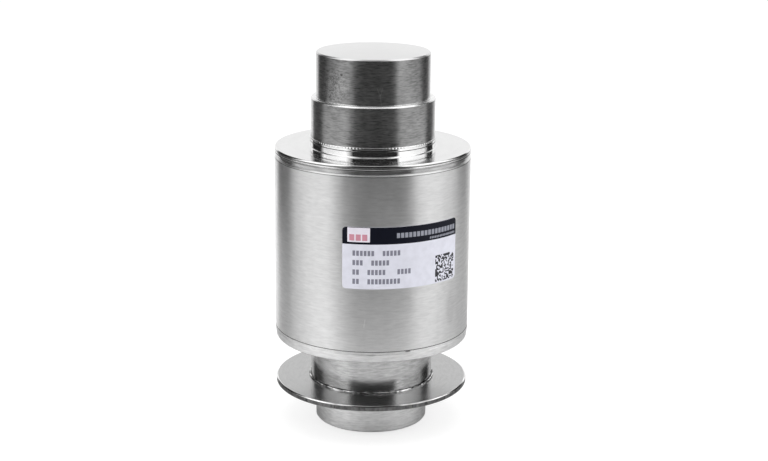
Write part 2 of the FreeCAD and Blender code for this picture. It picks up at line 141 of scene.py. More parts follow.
# Label, laid out in millimetres of arc from the front (-Y) towards +X, and in height
label_thickness = 0.15
label_turn = 19.9
label_width = 48.2
label_corner = 1.5
header_height = 6.55
badge_inset = 1.95
badge_width = 8.45
badge_above_band = 0.85
badge_below_edge = 0.2
code_cells = 21
code_size = 10.3
code_middle = 31.0
code_low = 65.7
code_share = 0.5
text_left = -6.97
text_height = 2.0
block_width = 1.0
block_gap = 0.4

# Cable outlet, about its own axis
outlet_height = (boss_low.z + boss_high.z) / 2
boss_radius = boss_high.x
boss_edge = 0.6
thread_radius = 6.0
feedthrough_seat_radius = 6.52
feedthrough_outer = 36.0
weld_leg = 1.5
weld_ripples = 90
weld_ripple = 0.05
weld_sway = 0.06
gland_hex = 17.0
gland_hex_end = 49.0
gland_neck_radius = 7.4
gland_neck_edge = 0.5
gland_bore_radius = 4.2
gland_seat_radius = 5.6
grommet_bore_radius = 3.1
grommet_outer_radius = 5.58
washer_bore_radius = 3.6
nut_hex = 18.0
nut_hex_end = 58.0
nut_nose_radius = 6.6
nut_mouth_radius = 4.2
nose_fullness = 0.7
hex_edge = 0.7
thread_pitch = 1.0
thread_depth = 0.35
thread_crest = 0.08
thread_runout = 0.3
thread_start = 0.2

# Play where one piece is pushed on to another
fit_play = 0.02

# Marks of use
SCRATCH_WIDTH = 0.3
NICKS = (267, 298.5)
NICK_REACH = 1.0
NICK_DEPTH = 0.25

# Colours used more than once
AMBER = (0.42, 0.17, 0.03)
FOIL = (0.75, 0.55, 0.42)
GOLD = (0.85, 0.60, 0.28)
TIN = (0.72, 0.71, 0.68)

# Mesh fineness
SEGMENTS = 240
FINE_SEGMENTS = 8 * collar_beads
SOFT_EDGE = 0.12
SOFT_STEPS = 4
EDGE_ROOM = 0.4
GENTLE_BEND = math.radians(12)
SHARP = math.radians(40)
ON_AXIS = 1e-6
CUT_WELD = 1e-5
CROWN_STEPS = 14
BEND_STEPS = 8
CORNER_STEPS = 6
FLAT_RINGS = 48
WELD_STEPS = 300

# Nearly all of a noise lies between these
NOISE_LOW = 0.3
NOISE_HIGH = 0.7

# Places that follow
upper_shoulder = column_height - upper_spigot_length
disc_bottom = disc_low.z
disc_top = disc_bottom + disc_thickness
cover_bottom = cover_low.z
tube_bottom = tube_low.z
tube_top = tube_high.z
plate_bottom = plate_low.z
plate_top = plate_high.z
waist_middle = (tube_bottom + tube_top) / 2
land_top = plate_top + land_above_plate
label_left = math.radians(label_turn) * housing_radius - label_width / 2
label_right = label_left + label_width


def softened(points, closed):
    """The outline with a small arc at each sharp corner. Gentle bends stay as they are."""
    count = len(points)
    result = []
    for index, (x, z) in enumerate(points):
        if not closed and index in (0, count - 1):
            result.append((x, z))
            continue
        here = Vector((x, z))
        back = Vector(points[index - 1]) - here
        ahead = Vector(points[(index + 1) % count]) - here
        if math.pi - back.angle(ahead) < GENTLE_BEND:
            result.append((x, z))
            continue
        trim = min(SOFT_EDGE, EDGE_ROOM * min(back.length, ahead.length))
        start = here + back.normalized() * trim
        end = here + ahead.normalized() * trim
        for step in range(SOFT_STEPS + 1):
            share = step / SOFT_STEPS
            point = start.lerp(here, share).lerp(here.lerp(end, share), share)
            result.append((point.x, point.y))
    return result


def finished(mesh):
    """Mesh data with every face turned outwards."""
    bmesh.ops.recalc_face_normals(mesh, faces=mesh.faces)
    data = bpy.data.meshes.new("form")
    mesh.to_mesh(data)
    mesh.free()
    return data


def turned(points, closed=True, reshape=None, segments=SEGMENTS):
    """A turned mesh from radius and height pairs, from the top down. reshape may move a point."""
    mesh = bmesh.new()
    rings = []
    for radius, height in softened(points, closed):
        if radius < ON_AXIS:
            rings.append([mesh.verts.new((0, 0, height * MM))])
            continue
        ring = []
        for step in range(segments):
            angle = 2 * math.pi * step / segments
            reach, rise = reshape(radius, height, angle) if reshape else (radius, height)
            x, y = reach * math.cos(angle), reach * math.sin(angle)
            ring.append(mesh.verts.new((x * MM, y * MM, rise * MM)))
        rings.append(ring)
    pairs = list(zip(rings, rings[1:]))
    if closed:
        pairs.append((rings[-1], rings[0]))
    for upper, lower in pairs:
        for step in range(segments):
            corners = [upper[step % len(upper)], lower[step % len(lower)],
                       lower[(step + 1) % len(lower)], upper[(step + 1) % len(upper)]]
            mesh.faces.new(list(dict.fromkeys(corners)))
    return finished(mesh)


def added(name, data):
    """A new object, linked to the scene."""
    item = bpy.data.objects.new(name, data)
    bpy.context.scene.collection.objects.link(item)
    return item


def place(name, data, material, slot, *nodes):
    """Puts a mesh on the body as a smooth piece, which takes the place of the solids in nodes."""
    data.name = name
    piece = added(name, data)
    data.materials.append(material)
    data.polygons.foreach_set("use_smooth", [True] * len(data.polygons))
    data.set_sharp_from_angle(angle=SHARP)
    normals = piece.modifiers.new("even_normals", "WEIGHTED_NORMAL")
    normals.mode = "FACE_AREA"
    normals.keep_sharp = True
    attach(piece, BODY)
    if nodes:
        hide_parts(*nodes)
    return piece


def paint(piece, *finishes):
    """Gives a material to the faces whose middle, as radius and height, is chosen."""
    for material, chosen in finishes:
        piece.data.materials.append(material)
        for polygon in piece.data.polygons:
            middle = polygon.center / MM
            if chosen(math.hypot(middle.x, middle.y), middle.z):
                polygon.material_index = len(piece.data.materials) - 1


def crown_drop(radius):
    return crown_radius - math.sqrt(crown_radius ** 2 - radius ** 2)


rim_radius = spigot_radius - spigot_edge_width
rim_drop = crown_drop(rim_radius)


def crown_points(end, inward):
    """From the apex of a crown to its rim."""
    radii = [rim_radius * step / CROWN_STEPS for step in range(CROWN_STEPS + 1)]
    return [(radius, end + inward * crown_drop(radius)) for radius in radii]


def waist_points(inward):
    """The fillet between neck and waist, from the neck side."""
    tangent = waist_middle - inward * waist_length / 2
    centre = waist_radius + waist_fillet
    sweep = math.acos((centre - neck_radius) / waist_fillet)
    points = []
    for step in range(BEND_STEPS + 1):
        angle = sweep * (1 - step / BEND_STEPS)
        height = tangent - inward * waist_fillet * math.sin(angle)
        points.append((centre - waist_fillet * math.cos(angle), height))
    return points


def column_outline():
    land_bottom = plate_bottom - land_below_plate
    seam = plate_top + seam_above_plate
    low = waist_middle - waist_length / 2
    flats = [low + waist_length * (1 - step / FLAT_RINGS) for step in range(1, FLAT_RINGS)]
    return [
        *crown_points(column_height, -1),
        (spigot_radius, column_height - rim_drop - spigot_edge_height),
        (spigot_radius, upper_shoulder),
        (neck_radius - neck_edge, upper_shoulder),
        (neck_radius, upper_shoulder - neck_edge),
        (neck_radius, land_top),
        (land_radius, land_top),
        (land_radius, seam + seam_width / 2),
        (land_radius - seam_depth, seam),
        (land_radius, seam - seam_width / 2),
        (land_radius, land_bottom),
        (neck_radius, land_bottom),
        *waist_points(-1),
        *[(waist_radius, height) for height in flats],
        *reversed(waist_points(1)),
        (neck_radius, lower_shoulder + neck_edge),
        (neck_radius - neck_edge, lower_shoulder),
        (disc_seat_radius, lower_shoulder),
        (disc_seat_radius, disc_bottom),
        (spigot_radius, disc_bottom),
        (spigot_radius, rim_drop + spigot_edge_height),
        *reversed(crown_points(0, 1)),
    ]


def on_flats(radius, height, angle):
    """Pulls the waist in to its four milled flats, which have rounded roots."""
    half = waist_length / 2 - flat_end_margin
    beyond = abs(height - waist_middle)
    if beyond > half:
        return radius, height
    root = max(0.0, beyond - (half - flat_end_radius))
    plane = flat_radius + flat_end_radius - math.sqrt(flat_end_radius ** 2 - root ** 2)
    turn = (math.degrees(angle) - flat_turn + 45) % 90 - 45
    return min(radius, plane / math.cos(math.radians(turn))), height


def collar_bead_outline():
    """The fine weld at the top edge of the land."""
    low = land_top - 0.6 * collar_bead_height
    high = land_top + 0.4 * collar_bead_height
    return [
        (neck_radius, high),
        (neck_radius + 0.25, high - 0.05),
        (collar_bead_radius, land_top),
        (collar_bead_radius - 0.08, low + 0.1),
        (land_radius, low),
        (neck_radius, low),
    ]


def beaded(radius, height, angle):
    """The fine weld is a row of small overlapping beads."""
    if radius < collar_bead_foot:
        return radius, height
    wave = abs(math.sin(0.5 * collar_beads * angle)) - 0.6
    return radius + collar_bead_swell * wave, height + collar_bead_sway * bead_wander(angle, 4)


def plate_outline():
    """The plate, with the weld that joins it to the column's land."""
    hollow = 0.3 * contact_weld
    return [
        (plate_inner_radius, plate_top + contact_weld),
        (plate_inner_radius + hollow, plate_top + hollow),
        (plate_inner_radius + contact_weld, plate_top),
        (housing_radius - plate_edge_width, plate_top),
        (housing_radius, plate_top - plate_edge_height),
        (housing_radius, plate_bottom),
        (plate_inner_radius, plate_bottom),
    ]


def rim_bead_points():
    """The fine weld under the plate's edge: a round crest between two small valleys."""
    points = []
    for step in range(CORNER_STEPS + 1):
        angle = math.pi * step / CORNER_STEPS
        height = plate_bottom - rim_bead_drop + rim_bead_height / 2 * math.cos(angle)
        points.append((housing_radius - rim_bead_depth * (1 - math.sin(angle)), height))
    return points


def head_outline():
    neck = housing_radius - head_groove_depth
    rim_bottom = tube_top + head_groove_height
    low = head_low.z
    return [
        (head_inner_radius, plate_bottom),
        (housing_radius - rim_bead_depth, plate_bottom),
        *rim_bead_points(),
        (housing_radius, plate_bottom - rim_bead_drop - rim_bead_height / 2 - rim_bead_depth),
        (housing_radius, rim_bottom),
        (neck, rim_bottom),
        (neck, tube_top),
        (register_radius, tube_top),
        (register_radius, low),
        (head_inner_radius + head_ring_edge, low),
        (head_inner_radius, low + head_ring_edge),
    ]


def line_down(height):
    """A fine turned line, as a notch in an outline that goes down the housing's wall."""
    return [
        (housing_radius, height + line_width / 2),
        (housing_radius - line_depth, height),
        (housing_radius, height - line_width / 2),
    ]


def tube_outline():
    return [
        (bore_radius, tube_top),
        (housing_radius - tube_top_edge, tube_top),
        (housing_radius, tube_top - tube_top_edge),
        *line_down(tube_top - tube_line_below_top),
        (housing_radius, tube_bottom + joint_line),
        (housing_radius - joint_line, tube_bottom),
        (bore_radius, tube_bottom),
    ]


def nicked(radius, height, angle):
    """Two small dents in the tube's top edge."""
    wall = housing_radius - tube_top_edge - SOFT_EDGE
    dented = any(abs(math.degrees(angle) - middle) < NICK_REACH for middle in NICKS)
    if dented and height > tube_top - tube_top_edge and radius > wall:
        return radius - NICK_DEPTH, height
    return radius, height


def cover_outline():
    low_radius = housing_radius - cover_rim_taper
    web_top = cover_bottom + cover_web
    hub_top = cover_bottom + cover_hub_height
    return [
        (register_radius, cover_high.z),
        (register_radius, tube_bottom),
        (housing_radius - joint_line, tube_bottom),
        (housing_radius, tube_bottom - joint_line),
        *line_down(tube_bottom - cover_line_below_tube),
        (low_radius, cover_bottom + cover_rim_edge),
        (low_radius - cover_rim_edge, cover_bottom),
        (cover_bore_radius, cover_bottom),
        (cover_bore_radius, hub_top),
        (cover_hub_radius, hub_top),
        (cover_hub_radius, web_top),
        (cover_ring_radius, web_top),
        (cover_ring_radius, cover_high.z),
    ]


def disc_bead_points():
    """The raised bead round the neck, as half an oval."""
    points = []
    for step in range(BEND_STEPS + 1):
        angle = math.pi * (1 - step / BEND_STEPS)
        radius = bead_inner + bead_width / 2 * (1 + math.cos(angle))
        points.append((radius, disc_top + (disc_high.z - disc_top) * math.sin(angle)))
    return points


def disc_outline():
    bore = disc_seat_radius + fit_play
    return [
        (bore, disc_top),
        *disc_bead_points(),
        (disc_radius - disc_edge, disc_top),
        (disc_radius, disc_top - disc_edge),
        (disc_radius, disc_bottom + disc_edge),
        (disc_radius - disc_edge, disc_bottom),
        (bore, disc_bottom),
    ]


class Nodes:
    """The nodes of a material or a world, and short ways to add to them."""

    def __init__(self, owner, shader="Principled BSDF"):
        owner.use_nodes = True
        self.owner = owner
        self.tree = owner.node_tree
        self.shader = self.tree.nodes[shader]

    def add(self, kind, **settings):
        node = self.tree.nodes.new("ShaderNode" + kind)
        for key, value in settings.items():
            setattr(node, key, value)
        return node

    def feed(self, target, value):
        if isinstance(value, bpy.types.NodeSocket):
            self.tree.links.new(value, target)
        else:
            target.default_value = value

    def math(self, operation, first, second=0.0, third=0.0):
        node = self.add("Math", operation=operation)
        for socket, value in zip(node.inputs, (first, second, third)):
            self.feed(socket, value)
        return node.outputs[0]

    def times(self, first, second):
        return self.math("MULTIPLY", first, second)

    def minus(self, first, second):
        return self.math("SUBTRACT", first, second)

    def ramp(self, value, low, high, start, end):
        """A value carried from one range to another, held at both ends."""
        node = self.add("MapRange")
        for socket, number in zip(node.inputs, (value, low, high, start, end)):
            self.feed(socket, number)
        return node.outputs[0]

    def place(self):
        """Position on the object in millimetres, as four sockets: the whole vector, x, y and z."""
        where = self.add("Mapping")
        where.inputs["Scale"].default_value = (1 / MM, 1 / MM, 1 / MM)
        self.feed(where.inputs["Vector"], self.add("TexCoord").outputs["Object"])
        apart = self.add("SeparateXYZ")
        self.feed(apart.inputs[0], where.outputs[0])
        return where.outputs[0], *apart.outputs

    def noise(self, vector, scale, detail=2.0, dimensions="3D", w=0.0):
        node = self.add("TexNoise", noise_dimensions=dimensions)
        self.feed(node.inputs["Vector"], vector)
        self.feed(node.inputs["Scale"], scale)
        self.feed(node.inputs["Detail"], detail)
        if dimensions == "4D":
            self.feed(node.inputs["W"], w)
        return node.outputs[0]

    def shade(self, **inputs):
        """Sets or feeds inputs of the shader. An underscore in a name stands for a space."""
        for name, value in inputs.items():
            self.feed(self.shader.inputs[name.replace("_", " ")], value)

    def vary(self, value, level, share):
        """A level that changes by a share of itself with a noise value."""
        low, high = level * (1 - share), level * (1 + share)
        return self.ramp(value, NOISE_LOW, NOISE_HIGH, low, high)

    def combine(self, x, y, z):
        node = self.add("CombineXYZ")
        for socket, value in zip(node.inputs, (x, y, z)):
            self.feed(socket, value)
        return node.outputs[0]

    def length(self, first, second):
        squares = self.math("MULTIPLY_ADD", first, first, self.times(second, second))
        return self.math("SQRT", squares)

    def spot(self, arc, height, where, size):
        """1 inside a small oval and 0 outside. where is its middle, size half its width and height."""
        across = self.math("DIVIDE", self.minus(arc, where[0]), size[0])
        up = self.math("DIVIDE", self.minus(height, where[1]), size[1])
        return self.ramp(self.length(across, up), 0.6, 1.4, 1.0, 0.0)

    def bump(self, height, relief):
        """Surface relief in millimetres, from a value between 0 and 1."""
        node = self.add("Bump")
        node.inputs["Strength"].default_value = 1.0
        node.inputs["Distance"].default_value = relief * MM
        self.feed(node.inputs["Height"], height)
        self.shade(Normal=node.outputs[0])

    def tint(self, color, level):
        """A colour made lighter or darker by a value."""
        node = self.add("VectorMath", operation="SCALE")
        node.inputs[0].default_value = color
        self.feed(node.inputs["Scale"], level)
        return node.outputs[0]

    def arc(self, x, y, radius):
        """Distance round the axis from the front, towards +X."""
        return self.times(self.math("ARCTAN2", x, self.times(y, -1.0)), radius)

    def stroke(self, arc, height, start, end, width):
        """1 along a fine straight line between two points, as arc and height, and 0 away from it."""
        run = Vector(end) - Vector(start)
        across = self.minus(arc, start[0])
        up = self.minus(height, start[1])
        along = self.math("MULTIPLY_ADD", across, run.x, self.times(up, run.y))
        share = self.ramp(along, 0.0, run.length_squared, 0.0, 1.0)
        off = self.minus(across, self.times(share, run.x))
        away = self.minus(up, self.times(share, run.y))
        return self.ramp(self.length(off, away), 0.3 * width, width, 1.0, 0.0)


def steel(name, level, roughness, anisotropy, mottle, relief, grain=1.3, coat=0.0,
          blemishes=(), upright=False):
    """Steel with marks that run round the axis, or that stand upright on a sheared edge.

    grain is the number of marks per millimetre, relief their depth in millimetres, mottle how much the
    tone varies and coat how much clear film lies on it. Each blemish is a kind, its two places or its
    place and size as arc and height on the wall, and how much lighter or darker it is.
    """
    nodes = Nodes(bpy.data.materials.new(name))
    where, x, y, z = nodes.place()
    radius = nodes.length(x, y)
    arc = nodes.arc(x, y, radius)
    spread = 0.18 * grain
    across = nodes.combine(
        nodes.times(arc if upright else radius, grain),
        nodes.times(z, 0.2 * grain if upright else grain),
        nodes.times(x, spread),
    )
    marks = nodes.noise(across, 1.0, 2.0, "4D", nodes.times(y, spread))
    patches = nodes.noise(nodes.combine(x, y, nodes.times(z, 0.25)), 0.25, 5.0)
    tangent = nodes.add("Tangent", direction_type="RADIAL", axis="Z")
    nodes.shade(Metallic=1.0, Anisotropic=anisotropy, Anisotropic_Rotation=0.25,
                Tangent=tangent.outputs[0], Coat_Weight=coat, Coat_Roughness=0.16, Coat_IOR=1.8)
    clouds = nodes.ramp(patches, NOISE_LOW, NOISE_HIGH, -0.2, 0.2)
    tone = nodes.math("ADD", nodes.ramp(marks, 0.25, 0.75, -0.75, 0.75), clouds)
    bright = nodes.math("MULTIPLY_ADD", tone, mottle * level, level)
    for kind, first, second, amount in blemishes:
        if kind == "stroke":
            mask = nodes.stroke(arc, z, first, second, SCRATCH_WIDTH)
        else:
            mask = nodes.spot(arc, z, first, second)
        if kind == "scuff":
            ridges = nodes.ramp(nodes.noise(where, 0.9, 4.0), 0.46, 0.54, 0.0, 1.0)
            mask = nodes.times(mask, nodes.math("PINGPONG", ridges, 0.5))
        bright = nodes.math("MAXIMUM", nodes.math("MULTIPLY_ADD", mask, amount, bright), 0.02)
    nodes.shade(Base_Color=nodes.combine(bright, bright, bright),
                Roughness=nodes.vary(patches, roughness, 0.08))
    if relief:
        nodes.bump(marks, relief)
    return nodes.owner


def plain(name, color, roughness, metallic=0.0, relief=0.002, specular=0.5):
    """An even finish with a faint change of tone and a fine grain."""
    nodes = Nodes(bpy.data.materials.new(name))
    where = nodes.place()[0]
    patches = nodes.noise(where, 0.35, 4.0)
    grain = nodes.noise(where, 5.0, 2.0)
    nodes.shade(Base_Color=nodes.tint(color, nodes.vary(patches, 1.0, 0.05)), Metallic=metallic,
                Roughness=nodes.vary(grain, roughness, 0.1), Specular_IOR_Level=specular)
    nodes.bump(grain, relief)
    return nodes.owner


def foil_film(name, pitch):
    """Amber film with metal tracks that run along the column."""
    nodes = Nodes(bpy.data.materials.new(name))
    where, x, y = nodes.place()[:3]
    aside = nodes.math("PINGPONG", nodes.arc(x, y, nodes.length(x, y)), pitch / 2)
    tracks = nodes.ramp(aside, 0.22 * pitch, 0.28 * pitch, 1.0, 0.0)
    tone = nodes.vary(nodes.noise(where, 0.6, 3.0), 1.0, 0.1)
    blend = nodes.add("Mix", data_type="RGBA")
    nodes.feed(blend.inputs["Factor"], tracks)
    nodes.feed(blend.inputs[6], nodes.tint(AMBER, tone))
    nodes.feed(blend.inputs[7], nodes.tint(FOIL, tone))
    nodes.shade(Base_Color=blend.outputs[2], Metallic=tracks,
                Roughness=nodes.ramp(tone, 0.9, 1.1, 0.25, 0.4))
    return nodes.owner


def bead_wander(angle, seed):
    """A smooth uneven run round the axis, between about -1 and 1."""
    draws = random.Random(seed)
    total = 0.0
    for waves in (7, 13, 22, 41, 67, 95):
        total += math.sin(waves * angle + draws.uniform(0, 2 * math.pi)) * draws.uniform(0.2, 0.5)
    return total / 1.4


def uneven_bead(radius, height, angle):
    """The welded bead on the disc rises and falls, and its outer edge wanders."""
    if height < disc_top + bead_foot:
        return radius, height
    rise = (height - disc_top) * (1 - bead_sag * max(0.0, bead_wander(angle, 1)))
    return radius + bead_sway * bead_wander(angle, 2), disc_top + rise


def hexed(across_flats):
    """A reshape that cuts a turned outline to a hexagon."""
    def cut(radius, height, angle):
        turn = (math.degrees(angle) + 30) % 60 - 30
        return min(radius, across_flats / 2 / math.cos(math.radians(turn))), height
    return cut


def to_outlet(data):
    """Lays a mesh that was turned about the upright axis along the outlet's axis."""
    lie_down = Matrix.Rotation(math.radians(-90), 4, "X")
    data.transform(Matrix.Translation((0, 0, outlet_height * MM)) @ lie_down)
    return data


def hex_ends(across_flats, low, high):
    """The outside of a hexagon with its corners turned down, from the top end to the bottom."""
    corner = across_flats / math.sqrt(3)
    slope = hex_edge * math.tan(math.radians(30))
    return [
        (corner - hex_edge, high),
        (corner, high - slope),
        (corner, low + slope),
        (corner - hex_edge, low),
    ]


def boss_outline():
    return [
        (thread_radius, boss_high.y),
        (boss_radius - boss_edge, boss_high.y),
        (boss_radius, boss_high.y - boss_edge),
        (boss_radius, boss_low.y),
        (feedthrough_seat_radius, boss_low.y),
        (feedthrough_seat_radius, feedthrough_outer),
        (thread_radius, feedthrough_outer),
    ]


def threads(radius, low, high):
    """A row of thread crests down a wall, as rings."""
    root = radius - thread_depth
    points = []
    turns = int((high - low) / thread_pitch)
    for turn in range(turns):
        crest = high - (turn + 0.5) * thread_pitch
        points += [(root, crest + thread_pitch / 2), (radius, crest + thread_crest),
                   (radius, crest - thread_crest)]
    points.append((root, high - turns * thread_pitch))
    return points


def gland_outline():
    hex_low = seal_high.y
    top = gland_high.y
    thread_top = top - gland_neck_edge - thread_start
    grommet_seat = grommet_low.y
    stub = thread_radius - fit_play
    return [
        (gland_seat_radius, top),
        (gland_neck_radius - gland_neck_edge, top),
        (gland_neck_radius, top - gland_neck_edge),
        *threads(gland_neck_radius, gland_hex_end + thread_runout, thread_top),
        (gland_neck_radius - thread_depth, gland_hex_end),
        *hex_ends(gland_hex, hex_low, gland_hex_end),
        (stub, hex_low),
        (stub, gland_low.y),
        (gland_bore_radius, gland_low.y),
        (gland_bore_radius, grommet_seat),
        (gland_seat_radius, grommet_seat),
    ]


def nut_nose():
    """The full curve of the nut's nose, from its mouth down to the hexagon."""
    end = nut_high.y
    shoulder = nut_hex / 2
    middle = Vector((nut_nose_radius + nose_fullness * (shoulder - nut_nose_radius),
                     nut_hex_end + nose_fullness * (end - nut_hex_end)))
    first = Vector((nut_nose_radius, end))
    last = Vector((shoulder, nut_hex_end))
    control = 2 * middle - (first + last) / 2
    points = []
    for step in range(BEND_STEPS + 1):
        share = step / BEND_STEPS
        point = first.lerp(control, share).lerp(control.lerp(last, share), share)
        points.append((point.x, point.y))
    return points


def nut_outline():
    bore = gland_neck_radius + fit_play
    return [
        (nut_mouth_radius, nut_high.y),
        *nut_nose(),
        *hex_ends(nut_hex, nut_low.y, nut_hex_end),
        (bore, nut_low.y),
        (bore, clamp_high.y),
        (nut_mouth_radius, clamp_high.y),
    ]


def ring_outline(inner, outer, low, high):
    return (inner, high), (outer, high), (outer, low), (inner, low)


def weld_mesh():
    """The weld round the boss: a rippled fillet that follows the tube's wall."""
    profile = ((-0.15, 1.0), (0.0, 1.0), (0.22, 0.72), (0.45, 0.47),
               (0.72, 0.22), (1.0, 0.0), (0.9, -0.3), (-0.15, -0.3))
    mesh = bmesh.new()
    rings = []
    for step in range(WELD_STEPS):
        angle = 2 * math.pi * step / WELD_STEPS
        ripple = 1 + weld_ripple * math.sin(weld_ripples * angle) + weld_sway * bead_wander(angle, 3)
        ring = []
        for out, rise in profile:
            radius = boss_radius + out * weld_leg * ripple
            x = radius * math.cos(angle)
            y = math.sqrt(housing_radius ** 2 - x ** 2) + rise * weld_leg * ripple
            z = outlet_height + radius * math.sin(angle)
            ring.append(mesh.verts.new((x * MM, y * MM, z * MM)))
        rings.append(ring)
    for step, here in enumerate(rings):
        there = rings[(step + 1) % WELD_STEPS]
        for index in range(len(profile)):
            after = (index + 1) % len(profile)
            mesh.faces.new((here[index], here[after], there[after], there[index]))
    return finished(mesh)


def cut_outlet_hole(piece):
    """Cuts the boss's hole through the tube's rear wall."""
    beyond = 8.0
    radius = boss_radius + fit_play
    wall = turned([(radius, housing_radius + beyond), (radius, bore_radius - beyond)], closed=False)
    mesh = bmesh.new()
    mesh.from_mesh(to_outlet(wall))
    bmesh.ops.holes_fill(mesh, edges=mesh.edges)
    cutter = added("cutter", finished(mesh))
    hole = piece.modifiers.new("outlet_hole", "BOOLEAN")
    hole.operation = "DIFFERENCE"
    hole.solver = "EXACT"
    hole.object = cutter
    piece.modifiers.move(len(piece.modifiers) - 1, 0)
    with bpy.context.temp_override(object=piece, active_object=piece, selected_objects=[piece]):
        bpy.ops.object.modifier_apply(modifier="outlet_hole")
    bpy.data.objects.remove(cutter)


def word(left, blocks, middle, height, width, gap):
    """A run of plain blocks where a word was printed."""
    fields = []
    for index in range(blocks):
        start = left + index * (width + gap)
        fields.append((start, start + width, middle - height / 2, middle + height / 2))
    return fields


def label_fields():
    """The print as named fields: each is a list of left, right, low and high."""
    high = label_high.z
    band_low = high - header_height
    badge_left = label_left + badge_inset
    badge_low = band_low + badge_above_band
    fields = {
        "header": [(label_left, label_right, band_low, high)],
        "badge": [(badge_left, badge_left + badge_width, badge_low, high - badge_below_edge)],
        "mark": word(label_left + 2.7, 3, band_low + 2.6, 2.4, 1.9, 0.5),
        "light": word(label_right - 27.8, 17, high - 3.3, 1.9, 1.2, 0.4)
        + word(label_right - 14.2, 17, high - 5.5, 0.8, 0.55, 0.25),
        "print": [],
        "code": [],
    }
    pitch = block_width + block_gap
    rows = (
        (79.0, ((0, 6), (8, 5))),
        (75.35, ((0, 3), (5, 5))),
        (71.7, ((0, 2), (4, 5), (12, 4))),
        (68.1, ((0, 2), (4, 9))),
    )
    for middle, words in rows:
        for skipped, blocks in words:
            start = text_left + skipped * pitch
            fields["print"] += word(start, blocks, middle, text_height, block_width, block_gap)
    draws = random.Random(7)
    cell = code_size / code_cells
    for row in range(code_cells):
        for column in range(code_cells):
            if draws.random() < code_share:
                start = code_middle - code_size / 2 + column * cell
                base = code_low + row * cell
                fields["code"].append((start, start + cell, base, base + cell))
    return fields


def label_mesh(fields):
    """The film as a flat sheet cut along its print, then thickened and bent on to the tube."""
    low, high = label_low.z, label_high.z
    corners = []
    for x, z, start in ((label_right, high, 0), (label_left, high, 90),
                        (label_left, low, 180), (label_right, low, 270)):
        inward = -1 if x == label_right else 1
        downward = -1 if z == high else 1
        for step in range(CORNER_STEPS + 1):
            angle = math.radians(start + 90 * step / CORNER_STEPS)
            corners.append((x + inward * label_corner + label_corner * math.cos(angle),
                            0, z + downward * label_corner + label_corner * math.sin(angle)))
    mesh = bmesh.new()
    mesh.faces.new([mesh.verts.new(corner) for corner in corners])
    uprights, levels = set(), set()
    for group in fields.values():
        for start, end, base, top in group:
            uprights.update((round(start, 4), round(end, 4)))
            levels.update((round(base, 4), round(top, 4)))
    bends = int(label_width)
    uprights.update(round(label_left + label_width * step / bends, 4) for step in range(1, bends))
    for cuts, normal in ((uprights, (1, 0, 0)), (levels, (0, 0, 1))):
        for cut in sorted(cuts):
            geometry = [*mesh.verts, *mesh.edges, *mesh.faces]
            bmesh.ops.bisect_plane(mesh, geom=geometry, dist=CUT_WELD, plane_no=normal,
                                   plane_co=[cut * part for part in normal])
    grown = bmesh.ops.extrude_face_region(mesh, geom=list(mesh.faces), use_keep_orig=True)
    for item in grown["geom"]:
        if isinstance(item, bmesh.types.BMVert):
            item.co.y = label_thickness
    for face in mesh.faces:
        middle = face.calc_center_median()
        if middle.y < 0.9 * label_thickness:
            continue
        for index, group in enumerate(fields.values()):
            for start, end, base, top in group:
                if start < middle.x < end and base < middle.z < top:
                    face.material_index = index + 1
    for vert in mesh.verts:
        angle = vert.co.x / housing_radius
        reach = housing_radius + vert.co.y
        vert.co = Vector((reach * math.sin(angle), -reach * math.cos(angle), vert.co.z)) * MM
    return finished(mesh)


# Marks on the walls, as arc and height in millimetres
SPIGOT_MARKS = (
    ("spot", (-16.0, 138.0), (8.0, 9.0), -0.07),
    ("scuff", (-16.0, 137.0), (6.0, 6.5), 0.6),
    ("spot", (-12.4, 142.3), (0.5, 0.4), -0.25),
    ("stroke", (1.6, 137.9), (2.6, 135.4), 0.12),
    ("stroke", (3.7, 138.0), (2.9, 135.2), 0.12),
    ("stroke", (2.7, 135.3), (3.2, 132.0), 0.12),
)
TUBE_MARKS = (
    ("stroke", (-2.2, 53.0), (-2.6, 50.2), 0.15),
    ("spot", (35.0, 54.0), (2.4, 6.0), -0.07),
)
COVER_MARKS = (
    ("spot", (14.4, 40.0), (1.1, 0.35), -0.6),
    ("spot", (0.2, 38.9), (1.5, 0.2), -0.3),
)

# Finishes: level, roughness, anisotropy, mottle, relief, and where given grain and coat
spigot_steel = steel("turned_steel", 0.27, 0.31, 0.35, 0.75, 0.0, 2.4, 1.0, SPIGOT_MARKS)
crown_steel = steel("crown_steel", 0.77, 0.30, 0.2, 0.02, 0.0)
ledge_steel = steel("ledge_steel", 0.86, 0.24, 0.2, 0.15, 0.0)
neck_steel = steel("neck_steel", 0.57, 0.18, 0.4, 0.36, 0.001, 1.8)
stub_steel = steel("stub_steel", 0.86, 0.36, 0.7, 0.22, 0.0006, 1.8)
tube_steel = steel("brushed_steel", 0.85, 0.34, 0.6, 0.12, 0.001, 1.7, blemishes=TUBE_MARKS)
land_steel = steel("land_steel", 0.96, 0.05, 0.3, 0.03, 0.0012, 0.5)
plate_steel = steel("polished_steel", 0.77, 0.12, 0.3, 0.05, 0.006, 0.35)
rim_steel = steel("rim_steel", 0.36, 0.20, 0.4, 0.5, 0.004, 0.7)
# Dark steel for the tube's fine turned line: painted shade in its notch
line_shade_steel = steel("line_shade_steel", 0.25, 0.30, 0.0, 0.2, 0.0)
groove_steel = steel("groove_steel", 0.66, 0.16, 0.3, 0.15, 0.004, 0.6)
satin_steel = steel("satin_steel", 0.92, 0.50, 0.3, 0.18, 0.002, blemishes=COVER_MARKS)
disc_steel = steel("disc_steel", 0.46, 0.24, 0.3, 0.08, 0.002)
disc_side_steel = steel("disc_side_steel", 0.15, 0.35, 0.0, 0.9, 0.02, 1.3, upright=True)
disc_edge_steel = steel("disc_edge_steel", 0.7, 0.15, 0.0, 1.2, 0.01, 0.5)
bead_steel = steel("bead_steel", 0.55, 0.12, 0.0, 1.9, 0.05)
